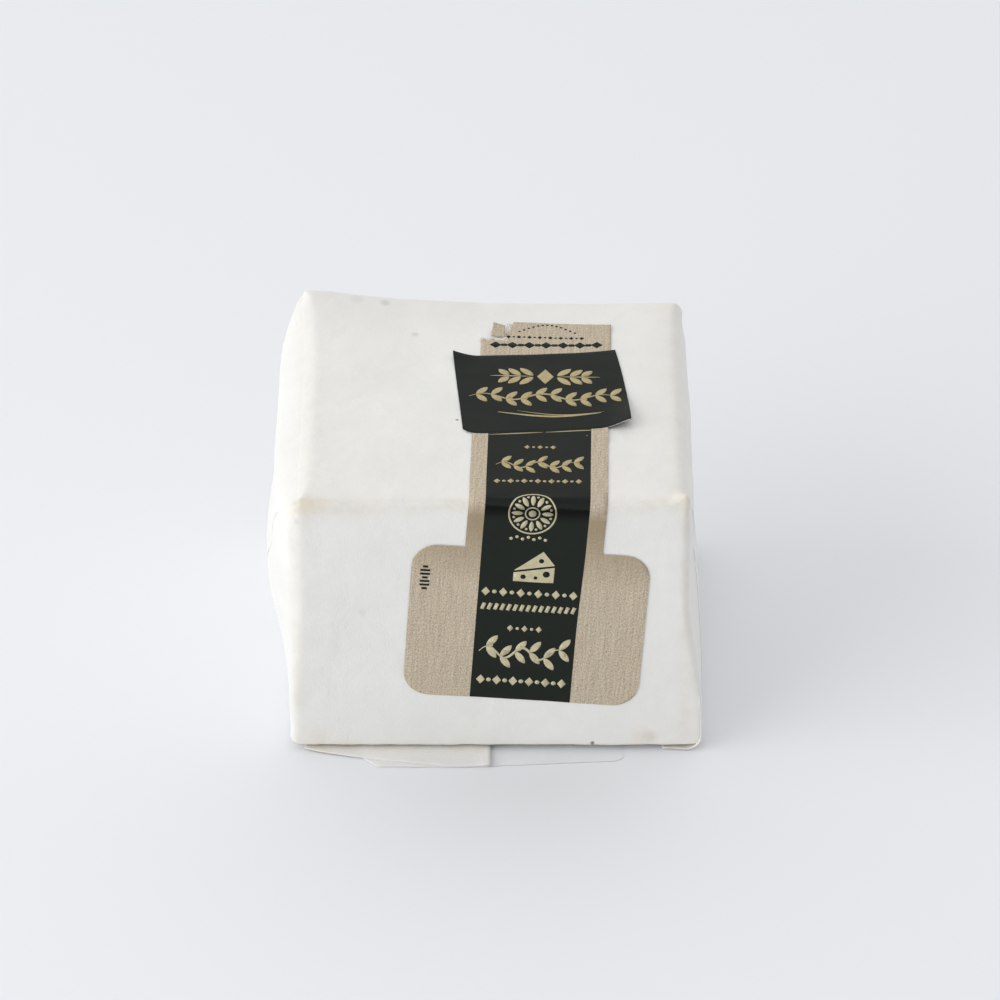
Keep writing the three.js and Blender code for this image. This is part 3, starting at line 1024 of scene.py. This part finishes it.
def waxed_paper():
    """White waxed paper: cloudy, faintly cockled, yellowed by grease along its creases."""
    if "white_waxed_paper" in bpy.data.materials:
        return bpy.data.materials["white_waxed_paper"]
    settings = bpy.context.scene.wrapped_cheese_paper
    material, tree = new_material("white_waxed_paper")
    place = node(tree, "TexCoord").outputs["Object"]
    grain = use_group(tree, paper_grain(), Vector=place)
    colour = mix(tree, grain["Tone"], scaled(settings.colour, 0.95), tuple(settings.colour))
    stain = node(tree, "Attribute", {"attribute_name": "grease"}).outputs["Fac"]
    mottle = node(tree, "TexNoise", Vector=place, Scale=420.0, Detail=4.0, Roughness=0.7)
    patchy = maths(tree, "MULTIPLY", stain, ramp(tree, mottle.outputs[0], 0.25, 0.62), clamped=True)
    colour = mix(tree, patchy, colour, tuple(settings.grease))
    ragged = maths(tree, "MULTIPLY", mottle.outputs[0], 0.0006)
    for *spot, radius, amount in PAPER_MARKS:
        distance = node(tree, "VectorMath", {"operation": "DISTANCE"}, i0=place, i1=Vector(spot) * MM)
        reach = maths(tree, "ADD", distance.outputs["Value"], ragged)
        mark = ramp(tree, reach, (radius + 0.3) * MM, (radius * 0.4 + 0.3) * MM)
        colour = mix(tree, maths(tree, "MULTIPLY", mark, amount), colour, (0.17, 0.12, 0.07, 1))
    rough = node(tree, "MapRange", Value=stain, To_Min=0.52, To_Max=0.36).outputs[0]
    finish_material(tree, colour, grain["Height"], 0.00024, roughness=rough, Specular_IOR_Level=0.4)
    return material


def painted_fold_light_and_shade():
    """Shared by the label's paper and inks: masks for painted light and shade along the fold over the
    block's edge. Dark is a band of painted shade and reflection just under the crease, Light a painted
    highlight on the crease, and Below the front of the label under the crease.
    """
    if "painted_fold_light_and_shade" in bpy.data.node_groups:
        return bpy.data.node_groups["painted_fold_light_and_shade"]
    tree, given, out = new_group(
        "painted_fold_light_and_shade", (("Vector", "Vector", None),),
        (("Float", "Dark"), ("Float", "Light"), ("Float", "Below")))
    wander = node(tree, "TexNoise", Vector=given["Vector"], Scale=0.5, Detail=2.0).outputs[0]
    along = node(tree, "SeparateXYZ", Vector=given["Vector"]).outputs[1]
    along = maths(tree, "ADD", along, maths(tree, "MULTIPLY", wander, 0.5))
    # Painted dark band just under the crease, and a painted highlight on the crease itself
    dark = maths(tree, "MULTIPLY", ramp(tree, along, -0.4, -0.9), ramp(tree, along, -3.2, -1.2))
    light = maths(tree, "MULTIPLY", ramp(tree, along, 0.4, -0.1), ramp(tree, along, -0.7, -0.3))
    tree.links.new(dark, out["Dark"])
    tree.links.new(light, out["Light"])
    tree.links.new(ramp(tree, along, -0.2, -2.6), out["Below"])
    return tree


def buff_paper():
    """Buff label paper with a fine slanting weave, faint ribs along it and cloudy fibres, and painted
    shade on the front just under the crease.
    """
    if "buff_paper" in bpy.data.materials:
        return bpy.data.materials["buff_paper"]
    settings = bpy.context.scene.wrapped_cheese_label
    material, tree = new_material("buff_paper")
    place = flat_place(tree)

    def streaks(turn, across, along, detail):
        """Noise drawn out along a direction that is turned away from the label's length."""
        turned = node(tree, "Mapping", {"vector_type": "TEXTURE"}, Vector=place,
                      Rotation=(0, 0, math.radians(turn)), Scale=(across, along, 1)).outputs[0]
        return node(tree, "TexNoise", Vector=turned, Scale=1.0, Detail=detail, Roughness=0.6)

    weave = streaks(38, 0.15, 0.38, 1.0).outputs[0]
    cross = streaks(-30, 0.17, 0.32, 1.0).outputs[0]
    streak = streaks(0, 0.32, 7.0, 3.0).outputs[0]
    ribs = node(tree, "TexWave", {"bands_direction": "X", "wave_profile": "SAW"}, Vector=place,
                Scale=0.42, Distortion=0.5, Detail=1.0, Detail_Scale=0.2).outputs["Fac"]
    tone = maths(tree, "MULTIPLY", weave, 1.15)
    for part, share in ((cross, 0.60), (streak, 0.60), (ribs, 0.05)):
        tone = maths(tree, "ADD", tone, maths(tree, "MULTIPLY", part, share))
    colour = mix(tree, ramp(tree, tone, 0.88, 1.52), scaled(settings.buff, 0.62),
                 scaled(settings.buff, 1.34))
    colour = mix(tree, 0.03, colour, streaks(15, 0.9, 2.5, 2.0).outputs["Color"])
    # Painted shade: the buff is darkened on the front just under the crease, fading out between 5 and 15
    # mm down
    fold = use_group(tree, painted_fold_light_and_shade(), Vector=place)
    recover = ramp(tree, node(tree, "SeparateXYZ", Vector=place).outputs[1], -15.0, -5.0)
    shade = maths(tree, "MULTIPLY", maths(tree, "MULTIPLY", fold["Below"], recover), 0.85)
    colour = mix(tree, shade, colour, scaled(settings.buff, (0.62, 0.56, 0.47)))
    finish_material(tree, colour, tone, 0.00003, roughness=0.8, Specular_IOR_Level=0.25)
    return material


def black_ink():
    """Greenish black ink on paper, with small scuffs. Along the fold over the block's edge it has a
    painted highlight and a band of painted dark reflection just under it, and on the front below it is
    painted lighter to stand in for the light there.
    """
    if "black_ink" in bpy.data.materials:
        return bpy.data.materials["black_ink"]
    settings = bpy.context.scene.wrapped_cheese_label
    material, tree = new_material("black_ink")
    place = flat_place(tree)
    grain = use_group(tree, paper_grain(), Vector=place, Fibre=3.2, Cockle=0.35, Cloud=0.22)
    worn = [c * 1.5 + 0.001 for c in settings.black[:3]] + [1]
    colour = mix(tree, grain["Tone"], tuple(settings.black), worn)
    dust = use_group(tree, specks(), Vector=place, Density=0.42, Size=0.10, Share=0.16)
    colour = mix(tree, dust["Mask"], colour, (0.16, 0.16, 0.145, 1))
    fold = use_group(tree, painted_fold_light_and_shade(), Vector=place)
    # Painted light: the ink on the front is lighter than on the top, with a band of painted dark
    # reflection under the crease and a painted highlight on it
    front = scaled(settings.black, 1.75)
    colour = mix(tree, fold["Below"], colour, front)
    colour = mix(tree, maths(tree, "MULTIPLY", fold["Dark"], 0.95), colour, (0.0006, 0.001, 0.0008, 1))
    colour = mix(tree, fold["Light"], colour, front)
    rough = node(tree, "MapRange", Value=grain["Tone"], To_Min=0.55, To_Max=0.68).outputs[0]
    finish_material(tree, colour, grain["Height"], 0.00005, strength=0.6, roughness=rough,
                    Specular_IOR_Level=0.12)
    return material


def gold_ink(name, tone):
    """Flat gold ink, a little uneven over the paper's grain, with a band of painted shade just under the
    crease.
    """
    if name in bpy.data.materials:
        return bpy.data.materials[name]
    material, tree = new_material(name)
    place = flat_place(tree)
    grain = use_group(tree, paper_grain(), Vector=place, Fibre=4.0, Cockle=0.9, Cloud=1.1)
    colour = mix(tree, grain["Tone"], scaled(tone, 0.78), tuple(tone))
    fold = use_group(tree, painted_fold_light_and_shade(), Vector=place)
    # Painted shade: the gold is darkened in a band just under the crease
    colour = mix(tree, maths(tree, "MULTIPLY", fold["Dark"], 0.75), colour, scaled(tone, 0.35))
    finish_material(tree, colour, grain["Height"], 0.00003, strength=0.5, roughness=0.46,
                    Specular_IOR_Level=0.5)
    return material


def torn_core():
    """The bare fibrous core of torn label paper."""
    if "torn_core" in bpy.data.materials:
        return bpy.data.materials["torn_core"]
    material, tree = new_material("torn_core")
    place = node(tree, "TexCoord").outputs["Object"]
    fibres = node(tree, "TexNoise", Vector=place, Scale=3600.0, Detail=4.0, Roughness=0.75,
                  Distortion=1.2)
    shade = ramp(tree, fibres.outputs[0], 0.3, 0.7)
    colour = mix(tree, shade, (0.66, 0.63, 0.58, 1), (0.90, 0.89, 0.87, 1))
    finish_material(tree, colour, fibres.outputs[0], 0.00012, roughness=0.9, Specular_IOR_Level=0.2)
    return material


def white_sticker():
    """Smooth white sticker paper with a cool tint."""
    material, tree = new_material("white_sticker")
    place = node(tree, "TexCoord").outputs["Object"]
    grain = use_group(tree, paper_grain(), Vector=place, Fibre=3000.0, Cockle=120.0, Cloud=60.0)
    colour = mix(tree, grain["Tone"], (0.80, 0.815, 0.84, 1), (0.86, 0.87, 0.89, 1))
    finish_material(tree, colour, grain["Height"], 0.00005, roughness=0.5, Specular_IOR_Level=0.4)
    return material


def soft_rind():
    """White bloomy rind over pale yellow cheese."""
    material, tree = new_material("soft_rind")
    place = node(tree, "TexCoord").outputs["Object"]
    bloom = node(tree, "TexNoise", Vector=place, Scale=260.0, Detail=6.0, Roughness=0.7)
    down = node(tree, "TexVoronoi", {"feature": "SMOOTH_F1"}, Vector=place, Scale=900.0,
                Smoothness=0.6)
    cover = ramp(tree, bloom.outputs[0], 0.36, 0.6)
    colour = mix(tree, cover, (0.72, 0.55, 0.27, 1), (0.88, 0.85, 0.76, 1))
    height = maths(tree, "ADD", bloom.outputs[0], maths(tree, "MULTIPLY", down.outputs["Distance"], 0.5))
    finish_material(tree, colour, height, 0.0003, roughness=0.85, Specular_IOR_Level=0.25,
                    Subsurface_Weight=0.15, Subsurface_Scale=0.002)
    return material


# ---- Stage ----

class CHEESE_OT_stage(bpy.types.Operator):
    """Makes the pale floor, the soft light and the camera"""
    bl_idname = "cheese.stage"
    bl_label = "Stage"

    def execute(self, context):
        settings = context.scene.wrapped_cheese_stage
        make_floor(settings)
        make_light(settings)
        make_camera(settings)
        context.scene.view_settings.view_transform = "Standard"
        return {"FINISHED"}


def make_floor(settings):
    bm = bmesh.new()
    bmesh.ops.create_grid(bm, x_segments=1, y_segments=1, size=3.0)
    mesh = bpy.data.meshes.new("floor")
    bm.to_mesh(mesh)
    bm.free()
    floor = bpy.data.objects.new("floor", mesh)
    bpy.context.collection.objects.link(floor)
    material, tree = new_material("floor")
    shader = node(tree, "BsdfPrincipled", Base_Color=tuple(settings.floor), Roughness=0.8,
                  Specular_IOR_Level=0.1)
    tree.links.new(shader.outputs[0], node(tree, "OutputMaterial").inputs[0])
    mesh.materials.append(material)


def make_light(settings):
    """One large soft light from the front left, and a sky that is brighter towards the back."""
    light = bpy.data.lights.new("key", "AREA")
    light.shape = "SQUARE"
    light.size = settings.key_size
    light.energy = settings.key_power
    key = bpy.data.objects.new("key", light)
    bpy.context.collection.objects.link(key)
    turn, rise = settings.key_turn, settings.key_rise
    way = Vector((-math.cos(rise) * math.cos(turn), math.cos(rise) * math.sin(turn), math.sin(rise)))
    key.location = Vector((0, 0, 0.02)) + way * settings.key_distance
    key.rotation_euler = (-way).to_track_quat("-Z", "Y").to_euler()
    world = bpy.data.worlds.new("sky")
    bpy.context.scene.world = world
    world.use_nodes = True
    tree = world.node_tree
    tree.nodes.clear()
    way = node(tree, "SeparateXYZ", Vector=node(tree, "TexCoord").outputs["Generated"])
    behind = maths(tree, "MAXIMUM", way.outputs["Y"], 0.0)
    power = maths(tree, "ADD", settings.sky_all, maths(tree, "MULTIPLY", behind, settings.sky_back))
    shader = node(tree, "Background", Color=tuple(settings.sky), Strength=power)
    tree.links.new(shader.outputs[0], node(tree, "OutputWorld").inputs[0])


def make_camera(settings):
    camera = bpy.data.cameras.new("camera")
    camera.lens = settings.lens
    camera.sensor_width = 36.0
    camera.clip_start, camera.clip_end = 0.01, 20.0
    holder = bpy.data.objects.new("camera", camera)
    bpy.context.collection.objects.link(holder)
    rise = settings.elevation
    back = Vector((0, -math.cos(rise), math.sin(rise)))
    target = Vector((MIDDLE.x + 1.36, FRONT, TOP + 0.36)) * MM
    holder.location = target + back * settings.distance
    holder.rotation_euler = (-back).to_track_quat("-Z", "Y").to_euler()
    bpy.context.scene.camera = holder


# ---- Settings, panel and run ----

def colour_property(name, description, default):
    return FloatVectorProperty(
        name=name, description=description, default=(*default, 1.0), subtype="COLOR", size=4,
        min=0, max=1)


def size_property(name, description, default):
    return FloatProperty(
        name=name, description=description, default=default, unit="LENGTH", precision=5)


def angle_property(name, description, degrees):
    return FloatProperty(
        name=name, description=description, default=math.radians(degrees), subtype="ANGLE")


class PaperSettings(bpy.types.PropertyGroup):
    colour: colour_property("Paper", "Colour of the clean waxed paper", (0.83, 0.825, 0.80))
    grease: colour_property("Grease", "Colour of paper that grease has soaked", (0.73, 0.645, 0.50))
    top_flap: size_property("Top flap", "Length of the flap folded down over each end", 0.031)
    bottom_flap: size_property("Bottom flap", "Length of the flap folded up on each end", 0.027)


class LabelSettings(bpy.types.PropertyGroup):
    buff: colour_property("Buff", "Colour of the bare label paper", (0.53, 0.45, 0.335))
    black: colour_property("Black", "Colour of the black print", (0.0080, 0.0102, 0.0082))
    gold: colour_property("Gold", "Colour of the print on the banner", (0.47, 0.38, 0.175))
    pale_gold: colour_property("Pale gold", "Colour of the print on the stripe", (0.62, 0.56, 0.36))
    thickness: size_property("Thickness", "Thickness of the label's paper", 0.00012)
    across: size_property("Across", "How far right of the block's middle the label lies", 0.0071)
    front_tilt: angle_property("Front tilt", "How far the label is turned on the front", 4.0)
    top_tilt: angle_property("Top tilt", "How far the label is turned on the top", 1.2)


class StageSettings(bpy.types.PropertyGroup):
    floor: colour_property("Floor", "Colour of the floor", (0.85, 0.866, 0.90))
    sky: colour_property("Sky", "Colour of the light all round", (1.0, 1.0, 1.0))
    sky_all: FloatProperty(name="Sky", description="Strength of the light all round", default=0.65)
    sky_back: FloatProperty(
        name="Back sky", description="Strength added towards the back", default=0.63)
    key_power: FloatProperty(
        name="Key power", description="Power of the soft light", default=12.35, unit="POWER")
    key_size: size_property("Key size", "Side of the soft light", 1.4)
    key_distance: size_property("Key distance", "From the block to the soft light", 1.2)
    key_turn: angle_property("Key turn", "How far the light stands behind the left side", -25.0)
    key_rise: angle_property("Key rise", "The soft light's height above level", 15.0)
    lens: FloatProperty(
        name="Lens", description="The camera's focal length", default=188.6, unit="CAMERA")
    distance: size_property("Distance", "From the camera to the block's front edge", 0.79)
    elevation: angle_property("Elevation", "The camera's height above level", 32.0)


class CHEESE_PT_panel(bpy.types.Panel):
    """Lists the steps that build the wrapped cheese"""
    bl_idname = "CHEESE_PT_panel"
    bl_label = "Wrapped cheese"
    bl_space_type = "VIEW_3D"
    bl_region_type = "UI"
    bl_category = "Cheese"

    def draw(self, context):
        for operator in OPERATORS:
            self.layout.operator(operator.bl_idname)
        for group in (context.scene.wrapped_cheese_paper, context.scene.wrapped_cheese_label,
                      context.scene.wrapped_cheese_stage):
            for key in group.__annotations__:
                self.layout.prop(group, key)


OPERATORS = (
    CHEESE_OT_cheese, CHEESE_OT_wrapper, CHEESE_OT_end_flaps, CHEESE_OT_corner_fold,
    CHEESE_OT_laps, CHEESE_OT_label, CHEESE_OT_ornaments, CHEESE_OT_torn_edge,
    CHEESE_OT_base_label, CHEESE_OT_stage,
)
SETTINGS = (
    (PaperSettings, "wrapped_cheese_paper"),
    (LabelSettings, "wrapped_cheese_label"),
    (StageSettings, "wrapped_cheese_stage"),
)


def register():
    for group, name in SETTINGS:
        bpy.utils.register_class(group)
        setattr(bpy.types.Scene, name, PointerProperty(type=group))
    for operator in OPERATORS:
        bpy.utils.register_class(operator)
    bpy.utils.register_class(CHEESE_PT_panel)


def unregister():
    bpy.utils.unregister_class(CHEESE_PT_panel)
    for operator in reversed(OPERATORS):
        bpy.utils.unregister_class(operator)
    for group, name in reversed(SETTINGS):
        delattr(bpy.types.Scene, name)
        bpy.utils.unregister_class(group)


def main():
    register()
    for operator in OPERATORS:
        getattr(bpy.ops.cheese, operator.bl_idname.split(".")[1])()


if __name__ == "__main__":
    main()
